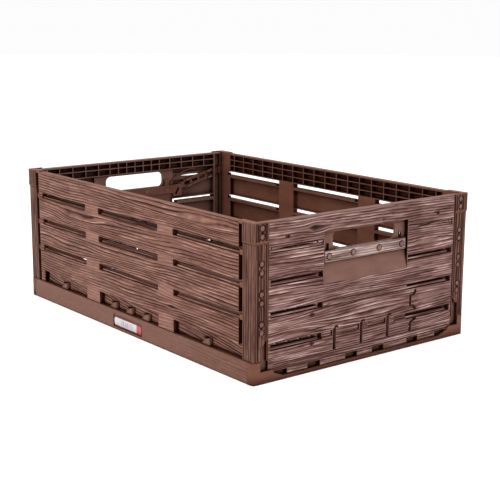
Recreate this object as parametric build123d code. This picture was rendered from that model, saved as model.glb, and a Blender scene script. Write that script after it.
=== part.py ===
from build123d import *
import os
from math import atan2, cos, degrees, radians, sin

os.makedirs("parts", exist_ok=True)

# Collapsible storage crate with wood-look plastic walls, in millimetres.
# Origin at the bottom centre, +X along the length, +Y across, +Z up.
# "near" is the +X end and the -Y side, "far" is the -X end and the +Y side.
# The two end walls are the same moulding turned half round, and so are the two long walls.

# ---- driving dimensions: overall ----
LENGTH = 600.0
WIDTH = 400.0
HEIGHT = 214.0
HALF_LENGTH = LENGTH / 2
HALF_WIDTH = WIDTH / 2

# ---- driving dimensions: base tray ----
RIM_TOP = 30.0
RIM_OUT = HALF_WIDTH - 0.4
RIM_SKIN = 2.5
RIM_DEPTH = 11.5
RIM_INNER_SKIN = 2.0
RIM_RIB_PITCH = 50.0
FLOOR_TOP = 5.3
FLOOR_BOTTOM = 2.8
LIP_TOP = 5.5
LIP_DEPTH = 14.5
CORNER_DEPTH = 11.5
CORNER_STEP_TOP = 16.5
CORNER_STEP_Y = 168.0
CORNER_POST_Y = 187.5
CORNER_RAMP = ((148.0, LIP_TOP), (165.0, 12.0), (CORNER_STEP_Y, CORNER_STEP_TOP))
CORNER_ROUND = 4.5
VENT_SIZE = (34.0, 9.0)
VENT_PITCH = (47.0, 22.0)
VENT_COUNT = (11, 15)
FOOT_RIB_THICK = 2.0
FOOT_RIB_BOTTOM = 0.8
FOOT_RIB_PITCH = 47.0

# ---- driving dimensions: long walls ----
LONG_OUT = HALF_WIDTH - 1.5
LONG_IN = LONG_OUT - 10.0
LONG_SKIN = 3.0
LONG_WALL_TOP = 212.5
BOARD_END_X = 268.0
POST_X = 276.0
PILLAR_X = (80.5, 119.0)
PILLAR_TOP = 181.0
LONG_SLOT_Z = ((84.0, 93.0), (127.0, 136.0), (170.0, 179.0))
LONG_SLOT_X = ((-80.5, 80.5), (119.0, 268.0))
LONG_SLOT_LEDGE = 3.2
LONG_LEDGE_DEPTH = 1.6
LEDGE_START = 8.0
WINDOW_TOP = 49.5
WEB = 2.0
RIB = 1.6
LIP_X = 294.5
LIP_EDGE_Y = 175.0
COLLAR_BOTTOM = 187.0
COLLAR_END = HALF_LENGTH - 0.6
COLLAR_SIDE = HALF_WIDTH - 0.5
POST_FACE = HALF_LENGTH - 1.5
POST_WALL = 2.5
POST_RIB_Z = (60.0, 100.0, 145.0)
POST_RELIEF = ((-176.0, 20.0), (-176.0, 61.0), (-182.0, 51.0), (-187.5, 50.0), (-187.5, 20.0))
FLOOR_OF_COLLAR = 210.0
TOP_RIB_Z = (180.0, 190.0, 200.5)
TOP_RIB_PITCH = 27.5
LONG_HINGE_Y = 193.5
LONG_HINGE_Z = 36.5
LONG_HINGE_X = (-194.0, -44.0, 0.0, 44.0, 194.0)
LONG_PIN_R = 1.5
LONG_EAR_R = 2.8
LONG_EAR_HALF = 4.0
LONG_CHEEK = (4.5, 6.5)
LONG_CHEEK_TOP = 39.5
LONG_CHEEK_SLOPE = 7.0

# ---- driving dimensions: moulded rivet heads ----
RIVET_Y = 185.0
RIVET_Z = (69.0, 80.0, 108.0, 120.0, 148.0, 160.0, 195.0, 206.0)
RIVET_R = 3.1
RIVET_RING_R = 4.5
RIVET_RING_DEPTH = 0.7
RIVET_DOME = 0.6

# ---- driving dimensions: end walls ----
END_OUT = 298.0
END_IN = 287.0
END_SKIN = 3.0
END_TOP = 212.5
END_HALF = 187.0
PANEL_HALF = 173.5
MARGIN_OUT = 294.0
MARGIN_BOTTOM = 17.2
END_SLOT_Z = ((41.5, 51.0), (85.5, 94.0), (128.0, 136.5), (171.0, 180.0))
END_SLOT_Y = (80.0, 170.0)
END_SLOT_LEDGE = (1.2, 4.2)
END_LEDGE_DEPTH = 1.4
SLOT_BACK_LAP = 0.4
BAND_Z = (44.0, 51.0)
BAND_DEPTH = 1.8
BAND_Y = ((-80.0, -61.5), (-46.5, -11.5), (4.5, 39.5), (55.5, 80.0))
CRACKED_STRIP_X = (292.4, 296.6)
CRACKED_STRIP_NAILS = ((-90.0, 177.0, 1.7), (163.0, 176.5, 1.4))
CRACKS = (((-166, 175.4), (-120, 174.4), (-96, 176.0), (-118, 177.8), (-142, 177.2)),
          ((84, 173.6), (112, 174.4), (150, 177.8), (110, 176.6)))
RAIL_HALF = 165.0
RAIL_TOP = 22.0
HINGE_X = 290.0
HINGE_Z = 9.0
HINGE_Y = (25.5, 94.0, 152.0)
HINGE_WINDOW = 22.0
HINGE_WINDOW_TOP = 13.5
HINGE_PIN_R = 2.0
HINGE_BORE_R = 2.06
HINGE_EAR_R = 4.2
HINGE_EAR_WIDTH = 14.0
HINGE_HEEL_R = 3.2
RECESS_HALF = 78.5
RECESS_Z = (118.0, 187.5)
PLATE_X = (289.5, 292.0)
PLATE_BOTTOM = 147.0
HAND_HOLE = (116.0, 161.8, 187.5)
HAND_HOLE_R = 9.0
BACK_RIB_Z = (62.0, 74.0, 104.0)
BACK_RIB_Y = (-78.5, -52.0, -26.0, 0.0, 26.0, 52.0, 78.5)
TOP_BOARD_RIB_Z = (190.0, 201.0)
BOARD_LINE_DEPTH = 1.2
STRAP_Y = (-60.0, -10.0, 41.0)
STRAP_Z = (23.0, 53.0)
STRAP_SLOT = 5.0
STRAP_CUT = 3.2
UPPER_KEY = ((86, 60), (86, 78), (92, 78), (97, 84), (100, 84), (100, 79), (94, 75), (90, 75),
             (90, 62), (94, 62), (100, 58), (100, 53), (96, 53), (92, 59))
LOWER_KEY = ((86, 23), (91, 23), (91, 36), (101, 39), (101, 41.4), (94, 41.4), (86, 36))

# ---- driving dimensions: lift latch ----
LIFT_TRAVEL = 10.0
BAR_HALF = 76.0
BAR_Z = (146.0, 161.5)
BAR_X = (292.4, 296.2)
PIN_Y = (24.4, 68.2)
PIN_Z = 154.0
PIN_R = 2.5
PIN_HEAD_R = 3.5
PIN_HEAD = 0.8
PIN_SLOT_TOP = 171.0
CARRIER_X = (286.9, 289.2)
CARRIER_HALF = 84.0
CARRIER_Z = (147.0, 161.5)
CARRIER_TAB = ((62.0, 71.0), (161.0, 173.0))
CARRIER_END = (80.0, 99.0, 141.0, 162.0)
ARM_X = (289.6, 291.8)
ARM_ANGLE = 14.3
ARM_HEIGHT = 11.0
ARM_PEG = (93.0, 157.5)
ARM_PEG_R = 2.0
ARM_TRAVEL = 7.0
ARM_TIP_Y = 186.3
ARM_INNER_REACH = 3.5
ARM_WINDOWS = 4
CATCH_X = (286.9, 289.3)
CATCH_Y = 181.0
CATCH_Z = (174.5, 187.5)
SPRING_POINTS = ((72.5, 163.4), (98.0, 182.0), (129.0, 188.2))
SPRING_THICK = 1.6
GUIDE_GAP = 0.3
GUIDE_THICK = 1.8

# ---- driving dimensions: label on the near side of the rim ----
LABEL_POCKET = (-40.0, 38.0, 4.0, 23.0)
LABEL_POCKET_DEPTH = 1.0
LABEL_Z = (7.0, 19.0)
LABEL_CARD_X = (-38.0, 23.0)
LABEL_TAB_X = (23.0, 36.0)
LABEL_THICK = 0.6
LABEL_ROUND = 4.0


def block(x, y, z):
    """A box from its ranges along X, Y and Z."""
    size = [abs(b - a) for a, b in (x, y, z)]
    middle = [(a + b) / 2 for a, b in (x, y, z)]
    return Pos(*middle) * Box(*size)


def join(pieces):
    return pieces[0] + pieces[1:]


def as_is(shape):
    return shape


def both(x):
    """A range on the positive side and its mirror image on the negative side."""
    return [(x[0], x[1]), (-x[1], -x[0])]


def near_side(x, out, z):
    """A box of the near long wall, out being distances from the crate's middle plane."""
    return block(x, (-out[1], -out[0]), z)


def plate(points, x):
    """A prism whose outline is given in Y and Z, between two X planes."""
    face = make_face(Plane.YZ * Polyline(*points, close=True))
    return Pos(x[0], 0, 0) * extrude(face, x[1] - x[0], dir=(1, 0, 0))


def rod_x(y, z, radius, x):
    return Pos((x[0] + x[1]) / 2, y, z) * Rot(0, 90, 0) * Cylinder(radius, x[1] - x[0])


def rod_y(x, z, radius, y):
    return Pos(x, (y[0] + y[1]) / 2, z) * Rot(90, 0, 0) * Cylinder(radius, y[1] - y[0])


def stadium_x(start, end, radius, x):
    """A round-ended slot between two (y, z) points, as a solid along X."""
    reach = (end[0] - start[0], end[1] - start[1])
    length = (reach[0] ** 2 + reach[1] ** 2) ** 0.5
    angle = degrees(atan2(reach[1], reach[0]))
    middle = ((start[0] + end[0]) / 2, (start[1] + end[1]) / 2)
    bar = Pos((x[0] + x[1]) / 2, *middle) * Rot(angle, 0, 0) * Box(x[1] - x[0], length, 2 * radius)
    return bar + [rod_x(*start, radius, x), rod_x(*end, radius, x)]


def half_turn(shape):
    return Rot(0, 0, 180) * shape


def arm_point(along, across=0.0):
    """A (y, z) point in the latch arm's own directions, from its peg."""
    a = radians(ARM_ANGLE)
    y = ARM_PEG[0] + along * cos(a) - across * sin(a)
    return y, ARM_PEG[1] + along * sin(a) + across * cos(a)


def arm_box(x, along, across):
    """A box lying along the latch arm, by ranges along and across it."""
    middle = arm_point((along[0] + along[1]) / 2, (across[0] + across[1]) / 2)
    size = (x[1] - x[0], along[1] - along[0], across[1] - across[0])
    return Pos((x[0] + x[1]) / 2, *middle) * Rot(ARM_ANGLE, 0, 0) * Box(*size)


def mirrored_y(shape):
    return mirror(shape, about=Plane.XZ)


# ---- base tray ----

def rim():
    """One hollow rim along a long side, open underneath, on the +Y side."""
    y = (HALF_WIDTH - RIM_DEPTH, RIM_OUT)
    x = (-HALF_LENGTH, HALF_LENGTH)
    pieces = [
        block(x, (y[1] - RIM_SKIN, y[1]), (0, RIM_TOP)),
        block(x, (y[0], y[0] + RIM_INNER_SKIN), (FLOOR_BOTTOM, RIM_TOP)),
        block(x, y, (RIM_TOP - RIM_SKIN, RIM_TOP)),
    ]
    for i in range(-5, 6):
        at = i * RIM_RIB_PITCH
        pieces.append(block((at - RIB / 2, at + RIB / 2), y, (1.0, RIM_TOP)))
    return pieces


def corner_blocks():
    """The solid corner under each post, with its step and ramp, for the +X +Y corner."""
    x = (HALF_LENGTH - CORNER_DEPTH, HALF_LENGTH)
    step = list(CORNER_RAMP)
    step += [(CORNER_POST_Y, CORNER_STEP_TOP), (CORNER_POST_Y, 0), (CORNER_RAMP[0][0], 0)]
    ramp_y = (CORNER_RAMP[0][0] - 1, CORNER_RAMP[1][0] - 1)
    ramp_hollow = block((x[0] - 1, END_OUT - 2.0), ramp_y, (LIP_TOP, RIM_TOP))
    return [
        plate(step, x) - ramp_hollow,
        block(x, (CORNER_POST_Y, HALF_WIDTH), (0, RIM_TOP)),
    ]


def hinge_ear(y):
    """A snap-in ear on the end lip that carries one of the end wall's hinge pins."""
    width = (y - HINGE_EAR_WIDTH / 2, y + HINGE_EAR_WIDTH / 2)
    ear = rod_y(HINGE_X, HINGE_Z, HINGE_EAR_R, width)
    ear += block((HINGE_X - 3.4, HINGE_X + 3.4), width, (LIP_TOP - 1.0, HINGE_Z))
    ear -= rod_y(HINGE_X, HINGE_Z, HINGE_BORE_R, (width[0] - 1, width[1] + 1))
    mouth = Pos(HINGE_X, y, HINGE_Z) * Rot(0, 35, 0) * Pos(0, 0, 4) * Box(3.0, 30, 8)
    return ear - mouth


def long_hinge_ear(x):
    """A snap-in ear on top of the rim that carries one of the long wall's hinge pins."""
    width = (x - LONG_EAR_HALF, x + LONG_EAR_HALF)
    ring = rod_x(-LONG_HINGE_Y, LONG_HINGE_Z, LONG_EAR_R, width)
    foot = near_side(width, (LONG_HINGE_Y - 2.4, LONG_HINGE_Y + 2.4), (RIM_TOP - 1, LONG_HINGE_Z))
    bore = rod_x(-LONG_HINGE_Y, LONG_HINGE_Z, LONG_PIN_R + 0.06, (width[0] - 1, width[1] + 1))
    return ring + foot - bore


def base_tray():
    x = (-HALF_LENGTH + LIP_DEPTH - 1, HALF_LENGTH - LIP_DEPTH + 1)
    inner = HALF_WIDTH - RIM_DEPTH
    floor = block(x, (-inner - 1, inner + 1), (FLOOR_BOTTOM, FLOOR_TOP))
    vents = []
    for i in range(VENT_COUNT[0]):
        for j in range(VENT_COUNT[1]):
            at_x = (i - (VENT_COUNT[0] - 1) / 2) * VENT_PITCH[0]
            at_y = (j - (VENT_COUNT[1] - 1) / 2) * VENT_PITCH[1]
            vents.append(Pos(at_x, at_y, FLOOR_BOTTOM) * Box(*VENT_SIZE, 12))
    floor -= vents
    pieces = rim() + [half_turn(p) for p in rim()]
    for i in range(-5, 5):
        at = (i + 0.5) * FOOT_RIB_PITCH
        across = (at - FOOT_RIB_THICK / 2, at + FOOT_RIB_THICK / 2)
        pieces.append(block(across, (-inner, inner), (FOOT_RIB_BOTTOM, FLOOR_BOTTOM + 0.5)))
    lip = block((HALF_LENGTH - LIP_DEPTH, HALF_LENGTH), (-inner - 1, inner + 1), (0, LIP_TOP))
    corner = corner_blocks()
    corner += [mirrored_y(c) for c in corner]
    for end in (as_is, half_turn):
        pieces.append(end(lip))
        pieces += [end(c) for c in corner]
        pieces += [end(hinge_ear(y * side)) for y in HINGE_Y for side in (1, -1)]
        pieces += [end(long_hinge_ear(at)) for at in LONG_HINGE_X]
    tray = floor + pieces
    outline = extrude(RectangleRounded(LENGTH, WIDTH, CORNER_ROUND), 60)
    tray &= outline
    pocket = near_side(LABEL_POCKET[:2], (RIM_OUT - LABEL_POCKET_DEPTH, HALF_WIDTH + 1), LABEL_POCKET[2:])
    return tray - [pocket, half_turn(pocket)]


# ---- long walls ----

def rivet_cut(face_x, z):
    ring = rod_x(-RIVET_Y, z, RIVET_RING_R, (face_x - RIVET_RING_DEPTH, face_x + 1))
    return ring - rod_x(-RIVET_Y, z, RIVET_R, (face_x - 2, face_x + 2))


def rivet_head(face_x, z):
    head = Cone(RIVET_R, RIVET_R * 0.6, RIVET_DOME)
    return Pos(face_x + RIVET_DOME / 2 - 0.01, -RIVET_Y, z) * Rot(0, 90, 0) * head


def face_at(z):
    """Where the post's outer face stands at a height: the collar is proud of the post."""
    return COLLAR_END if z > COLLAR_BOTTOM else POST_FACE


def post(s):
    """The hollow corner post at one end, with its lip round the end wall's margin. s is 1 or -1."""
    def along(a, b):
        return (a, b) if s > 0 else (-b, -a)

    z = (RIM_TOP, LONG_WALL_TOP)
    collar_z = (COLLAR_BOTTOM, HEIGHT)
    board_wall_x = BOARD_END_X - POST_WALL
    board_wall = along(board_wall_x, BOARD_END_X)
    pieces = [
        near_side(along(POST_X, POST_FACE), (LONG_OUT - LONG_SKIN, LONG_OUT), z),
        near_side(along(POST_X, POST_X + POST_WALL), (LONG_IN, LONG_OUT), z),
        near_side(along(BOARD_END_X - 8, POST_FACE), (LONG_IN, LONG_IN + WEB), z),
        near_side(board_wall, (LONG_IN, LONG_OUT), (WINDOW_TOP, LONG_WALL_TOP)),
        near_side(along(LIP_X, POST_FACE), (LIP_EDGE_Y, LONG_OUT), z),
        near_side(along(POST_X, COLLAR_END), (LONG_OUT - 1, COLLAR_SIDE), collar_z),
        near_side(along(POST_FACE - 1, COLLAR_END), (LIP_EDGE_Y, COLLAR_SIDE), collar_z),
        near_side(along(board_wall_x, COLLAR_END), (LONG_IN, LONG_OUT), (FLOOR_OF_COLLAR, HEIGHT)),
    ]
    for low, high in LONG_SLOT_Z:
        tie = (low - 1.0, high - 3.0)
        pieces.append(near_side(along(BOARD_END_X, POST_X), (LONG_IN, LONG_OUT - 1.5), tie))
    for z_rib in POST_RIB_Z:
        pieces.append(near_side(along(POST_X, LIP_X), (LONG_IN, LONG_OUT), (z_rib, z_rib + RIB)))
    catch = near_side(along(*CATCH_X), (CATCH_Y, LONG_IN + 1), CATCH_Z)
    return pieces + [catch]


def post_cut(s):
    """The slanted relief at the foot of the lip, which leaves room for the base's corner step."""
    x = (LIP_X - 1, HALF_LENGTH + 1)
    return plate(POST_RELIEF, x if s > 0 else (-x[1], -x[0]))


def hinge_wedge(x):
    """The sloping gusset beside one of the long wall's hinge pins."""
    corner = x - LONG_CHEEK[1]
    slope = [(corner, RIM_TOP + 0.4), (corner, LONG_CHEEK_TOP), (corner - LONG_CHEEK_SLOPE, RIM_TOP + 0.4)]
    face = make_face(Plane.XZ * Polyline(*slope, close=True))
    return Pos(0, -LONG_IN - 1, 0) * extrude(face, LONG_HINGE_Y - LONG_IN, dir=(0, -1, 0))


def long_wall():
    """The near long wall. Its boards are one skin, split by slots, with pillars and a rib grid inside."""
    skin = (LONG_OUT - LONG_SKIN, LONG_OUT)
    length = (-BOARD_END_X, BOARD_END_X)
    behind = (LONG_IN, LONG_OUT - 1)
    pieces = [
        near_side(length, skin, (RIM_TOP, LONG_WALL_TOP)),
        near_side(length, (LONG_IN, LONG_OUT), (LONG_WALL_TOP - 2.5, LONG_WALL_TOP)),
    ]
    for z in TOP_RIB_Z:
        pieces.append(near_side(length, behind, (z, z + RIB)))
    for i in range(-9, 10):
        at = i * TOP_RIB_PITCH
        pieces.append(near_side((at - RIB / 2, at + RIB / 2), behind, (TOP_RIB_Z[0], LONG_WALL_TOP)))
    for x in both(PILLAR_X):
        pieces.append(near_side(x, (LONG_IN, LONG_OUT), (RIM_TOP, PILLAR_TOP)))
    openings = [LONG_SLOT_X[0]] + both(LONG_SLOT_X[1])
    for x in openings:
        for low, high in LONG_SLOT_Z:
            pieces.append(near_side(x, behind, (low - RIB, low)))
            pieces.append(near_side(x, (LONG_OUT - LONG_SKIN - 3.0, LONG_OUT - 1), (high, high + RIB)))
        pieces.append(near_side(x, (LONG_IN, LONG_OUT), (WINDOW_TOP, WINDOW_TOP + WEB)))
        pieces.append(near_side(x, (LONG_IN, LONG_IN + WEB), (RIM_TOP, WINDOW_TOP)))
    for s in (1, -1):
        pieces += post(s)
    wall = join(pieces)
    cuts = [post_cut(s) for s in (1, -1)]
    for x in openings:
        for low, high in LONG_SLOT_Z:
            cuts.append(near_side(x, (LONG_IN - 1, LONG_OUT + 1), (low, high)))
        cuts.append(near_side(x, (LONG_IN + WEB, LONG_OUT + 1), (RIM_TOP - 1, WINDOW_TOP)))
    for s in (1, -1):
        for z in RIVET_Z:
            cut = rivet_cut(face_at(z), z)
            cuts.append(cut if s > 0 else mirror(cut, about=Plane.YZ))
    wall -= cuts
    extra = []
    for x in openings:
        for low, high in LONG_SLOT_Z:
            ledge = (LONG_IN, LONG_OUT - LONG_LEDGE_DEPTH)
            extra.append(near_side((x[0] + LEDGE_START, x[1]), ledge, (low - RIB, low + LONG_SLOT_LEDGE)))
    for s in (1, -1):
        for z in RIVET_Z:
            head = rivet_head(face_at(z), z)
            extra.append(head if s > 0 else mirror(head, about=Plane.YZ))
    for x in LONG_HINGE_X:
        reach = LONG_CHEEK[1]
        extra.append(rod_x(-LONG_HINGE_Y, LONG_HINGE_Z, LONG_PIN_R, (x - reach, x + reach)))
        for a, b in both(LONG_CHEEK):
            cheek_y = (LONG_IN + 1, LONG_HINGE_Y + 2.5)
            extra.append(near_side((x + a, x + b), cheek_y, (RIM_TOP + 0.4, LONG_CHEEK_TOP)))
        extra.append(hinge_wedge(x))
    return wall + extra


# ---- end walls ----

def end_margin(s):
    """The thin edge of the end wall that slides in behind the long wall's lip, on one side."""
    edge = [(s * a, s * b) if s > 0 else (s * b, s * a) for a, b in
            ((PANEL_HALF - 3, END_HALF), (PANEL_HALF - 3, PANEL_HALF), (END_HALF - 2.5, END_HALF))]
    z = (MARGIN_BOTTOM, END_TOP)
    return [
        block((MARGIN_OUT - 2, MARGIN_OUT), edge[0], z),
        block((END_IN, END_OUT), edge[1], z),
        block((END_IN, MARGIN_OUT), edge[2], z),
        block((END_IN, MARGIN_OUT), edge[0], (z[0], z[0] + 2.5)),
        block((END_IN, MARGIN_OUT), edge[0], (END_TOP - 2.5, END_TOP)),
    ]


def end_ribs():
    """The rib grid inside the top board and the frames behind the slots."""
    back = (END_IN, END_OUT - 1)
    pieces = []
    for z in TOP_BOARD_RIB_Z:
        pieces.append(block(back, (-PANEL_HALF, PANEL_HALF), (z, z + RIB)))
    places = [17.0 * i for i in range(4)] + [PANEL_HALF - 25.0 * i for i in range(1, 5)]
    for y in places:
        for side in ((1, -1) if y else (1,)):
            at = side * y
            pieces.append(block(back, (at - RIB / 2, at + RIB / 2), (TOP_BOARD_RIB_Z[0], END_TOP)))
    for y in both((RECESS_HALF, PANEL_HALF)):
        for low, high in END_SLOT_Z:
            front = PLATE_X[1] + 0.4 if low > RECESS_Z[0] + 20 else END_IN
            for edge in ((low - RIB, low), (high, high + RIB)):
                pieces.append(block((front, END_OUT - 1), y, edge))
    for z in BACK_RIB_Z:
        pieces.append(block(back, (-RECESS_HALF, RECESS_HALF), (z, z + RIB)))
    for at in BACK_RIB_Y:
        pieces.append(block(back, (at - RIB / 2, at + RIB / 2), (20.0, 114.0)))
    return pieces


def handle_recess():
    """The thumb scoop, its side walls and the plate with the hand hole."""
    low, high = RECESS_Z
    scoop = [(END_OUT, low), (END_OUT - END_SKIN, low)]
    scoop += [(x, PLATE_BOTTOM) for x in PLATE_X]
    face = make_face(Plane.XZ * Polyline(*scoop, close=True))
    half = RECESS_HALF + 2.5
    pieces = [
        extrude(face, half, both=True),
        block(PLATE_X, (-half, half), (PLATE_BOTTOM, high + 3.0)),
        block((PLATE_X[0], END_OUT), (-half, half), (high, high + 3.0)),
    ]
    for y in both((RECESS_HALF, half)):
        pieces.append(block((PLATE_X[0], END_OUT), y, (low, high + 3.0)))
    return pieces


def hand_hole():
    width, low, high = HAND_HOLE
    outline = Plane.YZ * Pos(0, (low + high) / 2) * RectangleRounded(width, high - low, HAND_HOLE_R)
    return Pos(END_IN - 1, 0, 0) * extrude(outline, 8, dir=(1, 0, 0))


def arm_guides():
    """Rails above and below one latch arm, with tabs that keep it in, on the +Y side."""
    half = ARM_HEIGHT / 2 + GUIDE_GAP
    pieces = []
    for s in (1, -1):
        across = (half, half + GUIDE_THICK) if s > 0 else (-half - GUIDE_THICK, -half)
        pieces.append(arm_box((ARM_X[0] - 0.2, END_OUT - 1), (14.0, 80.0), across))
        tab = (half - 1.6, half + GUIDE_THICK) if s > 0 else (-half - GUIDE_THICK, -half + 1.6)
        for start in (18.0, 66.0):
            pieces.append(arm_box((END_IN, ARM_X[0] - 0.2), (start, start + 9.0), tab))
    return pieces


def end_wall_cuts():
    """Everything that is taken out of the end wall's skin and ribs."""
    through = (END_IN - 2, END_OUT + 2)
    cuts = [hand_hole()]
    for y in both(END_SLOT_Y):
        for low, high in END_SLOT_Z:
            front = PLATE_X[1] + 0.2 if low > RECESS_Z[0] + 20 else through[0]
            cuts.append(block((front, through[1]), y, (low, high)))
    for y in both((PIN_Y[1] - 2.9, PIN_Y[1] + 2.9)):
        cuts.append(block(PLATE_X, y, (PIN_Z - 3.2, PIN_SLOT_TOP)))
    for y in both((PIN_Y[0] - 2.9, PIN_Y[0] + 2.9)):
        cuts.append(block(PLATE_X, y, (PIN_Z - 3.2, HAND_HOLE[1] + 1)))
    for at in HINGE_Y:
        for y in both((at - HINGE_WINDOW / 2, at + HINGE_WINDOW / 2)):
            cuts.append(block(through, y, (0, HINGE_WINDOW_TOP)))
    ramp = [(p[0], p[1] + 0.7) for p in CORNER_RAMP]
    start = ramp[0][0] - 1
    foot = [(start, 0), (start, ramp[0][1])] + ramp + [(END_HALF + 1, ramp[-1][1]), (END_HALF + 1, 0)]
    corner = plate(foot, through)
    half = ARM_HEIGHT / 2 + 0.4
    arm_way = arm_box((ARM_X[0] - 0.3, ARM_X[1] + 0.3), (70.0, 104.0), (-half, half))
    catch_z = (CATCH_Z[0] - 1.5, CATCH_Z[1] + 1)
    catch_way = block((END_IN - 1, CATCH_X[1] + 0.2), (CATCH_Y - 1.0, END_HALF + 1), catch_z)
    for cut in (corner, arm_way, catch_way):
        cuts += [cut, mirrored_y(cut)]
    return cuts


def grooves():
    """Lines in the outer face: the boards' joints, the patch board's keys and the three straps."""
    line = (END_OUT - BOARD_LINE_DEPTH, END_OUT + 1)
    deep = (END_OUT - STRAP_CUT, END_OUT + 1)
    low, high = END_SLOT_Z[1]
    cuts = [
        block(line, (-END_SLOT_Y[0], END_SLOT_Y[0]), (low, low + BOARD_LINE_DEPTH)),
        block(line, (-END_SLOT_Y[0], END_SLOT_Y[0]), (high - BOARD_LINE_DEPTH, high)),
        block(line, (-RAIL_HALF, RAIL_HALF), (RAIL_TOP, RAIL_TOP + 1.0)),
        block(line, (-RAIL_HALF, RAIL_HALF), (14.4, 15.4)),
    ]
    cuts += [block((END_OUT - BAND_DEPTH, END_OUT + 1), y, BAND_Z) for y in BAND_Y]
    top = STRAP_Z[1]
    for y in STRAP_Y:
        cuts.append(block(deep, (y, y + STRAP_SLOT), STRAP_Z))
        hook = rod_x(y + 5.5, top, 4.0, deep) - rod_x(y + 6.5, top - 1.0, 2.2, deep)
        cuts.append(hook - block(deep, (y, y + 12.0), (top - 13.0, top - 1.0)))
        cuts.append(block(deep, (y - 6.0, y - 1.5), (44.0, 51.5)))
    return cuts + [plate(key, deep) for key in (UPPER_KEY, LOWER_KEY)]


def slot_fillings():
    """The ledges set back in the slots, and the cracked strip that closes the top slots."""
    pieces = []
    for low, high in END_SLOT_Z[:-1]:
        back = PLATE_X[1] + 0.4 if low > RECESS_Z[0] + 20 else END_IN
        for y in both(END_SLOT_Y):
            shelf_y = (y[0], y[1] - LEDGE_START)
            shelf_z = (low + END_SLOT_LEDGE[0], low + END_SLOT_LEDGE[1])
            pieces.append(block((back, END_OUT - END_LEDGE_DEPTH), shelf_y, shelf_z))
            pieces.append(block((back, END_OUT - END_SKIN + SLOT_BACK_LAP), y, (low - RIB, shelf_z[0])))
    for y in both(END_SLOT_Y):
        pieces.append(block(CRACKED_STRIP_X, y, END_SLOT_Z[-1]))
    holes = [rod_x(y, z, r, (END_IN, END_OUT)) for y, z, r in CRACKED_STRIP_NAILS]
    holes += [plate(crack, (END_IN, END_OUT)) for crack in CRACKS]
    return join(pieces) - holes


def end_wall():
    """The near end wall, with its hinge pins moulded across the windows in its bottom rail."""
    heel_room = block((END_IN, HINGE_X + 1), (-RAIL_HALF, RAIL_HALF), (0, 20))
    pieces = [
        block((END_OUT - END_SKIN, END_OUT), (-PANEL_HALF, PANEL_HALF), (LIP_TOP + 0.3, END_TOP)),
        block((END_IN, END_OUT), (-PANEL_HALF, PANEL_HALF), (END_TOP - 2.5, END_TOP)),
        block((HINGE_X, END_OUT), (-RAIL_HALF, RAIL_HALF), (LIP_TOP + 0.3, RAIL_TOP)),
        block((END_IN, END_OUT), (-RAIL_HALF, RAIL_HALF), (HINGE_Z, RAIL_TOP)),
        rod_y(HINGE_X, HINGE_Z, HINGE_HEEL_R, (-RAIL_HALF, RAIL_HALF)) & heel_room,
    ]
    for s in (1, -1):
        pieces += end_margin(s)
    pieces += end_ribs()
    recess = block((END_OUT - END_SKIN - 3, END_OUT + 1), (-RECESS_HALF, RECESS_HALF), RECESS_Z)
    wall = join(pieces) - recess
    guides = arm_guides()
    guides += [mirrored_y(g) for g in guides]
    wall = wall + handle_recess() + guides
    wall = wall - end_wall_cuts() - grooves() + slot_fillings()
    pins = []
    for at in HINGE_Y:
        for y in both((at - HINGE_WINDOW / 2 - 0.5, at + HINGE_WINDOW / 2 + 0.5)):
            pins.append(rod_y(HINGE_X, HINGE_Z, HINGE_PIN_R, y))
    return wall + pins


# ---- lift latch of the near end ----

def lift_bar():
    bar = block(BAR_X, (-BAR_HALF, BAR_HALF), BAR_Z)
    bar = fillet(bar.edges().filter_by(Axis.X), 1.5)
    return bar - [rod_x(s * y, PIN_Z, PIN_R, (280, 300)) for y in PIN_Y for s in (1, -1)]


def latch_carrier():
    """The inner half of the latch: a bar under the hand hole with a cam plate at each end."""
    carrier = block(CARRIER_X, (-CARRIER_HALF, CARRIER_HALF), CARRIER_Z)
    y0, y1, z0, z1 = CARRIER_END
    carrier += [block(CARRIER_X, y, (z0, z1)) for y in both((y0, y1))]
    carrier += [block(CARRIER_X, y, CARRIER_TAB[1]) for y in both(CARRIER_TAB[0])]
    carrier -= [rod_x(s * y, PIN_Z, PIN_R, (280, 300)) for y in PIN_Y for s in (1, -1)]
    a = radians(ARM_ANGLE)
    run = (-ARM_TRAVEL * cos(a), -ARM_TRAVEL * sin(a) - LIFT_TRAVEL)
    cam = stadium_x(ARM_PEG, (ARM_PEG[0] + run[0], ARM_PEG[1] + run[1]), ARM_PEG_R + 0.15, (280, 300))
    return carrier - [cam, mirrored_y(cam)]


def bar_pins():
    """Four headed pins that hold the bar to the carrier through the plate's slots."""
    pins = []
    for y in PIN_Y:
        for s in (1, -1):
            pin = rod_x(s * y, PIN_Z, PIN_R, (CARRIER_X[0], BAR_X[1]))
            pins.append(pin + rod_x(s * y, PIN_Z, PIN_HEAD_R, (BAR_X[1], BAR_X[1] + PIN_HEAD)))
    return Compound(children=pins)


def latch_arm():
    """A spring-loaded latch arm on the +Y side, with the peg that the cam plate draws inwards."""
    a = radians(ARM_ANGLE)
    tip = (ARM_TIP_Y - ARM_PEG[0]) / cos(a)
    arm = arm_box(ARM_X, (-ARM_INNER_REACH, tip + 4.0), (-ARM_HEIGHT / 2, ARM_HEIGHT / 2))
    arm &= block(ARM_X, (0, ARM_TIP_Y), (0, HEIGHT))
    for i in range(ARM_WINDOWS):
        start = 14.0 + 17.5 * i
        arm -= arm_box((280, 300), (start, start + 12.0), (-2.6, 2.6))
    return arm + rod_x(*ARM_PEG, ARM_PEG_R, (CARRIER_X[0] + 0.1, ARM_X[0] + 0.5))


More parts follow.
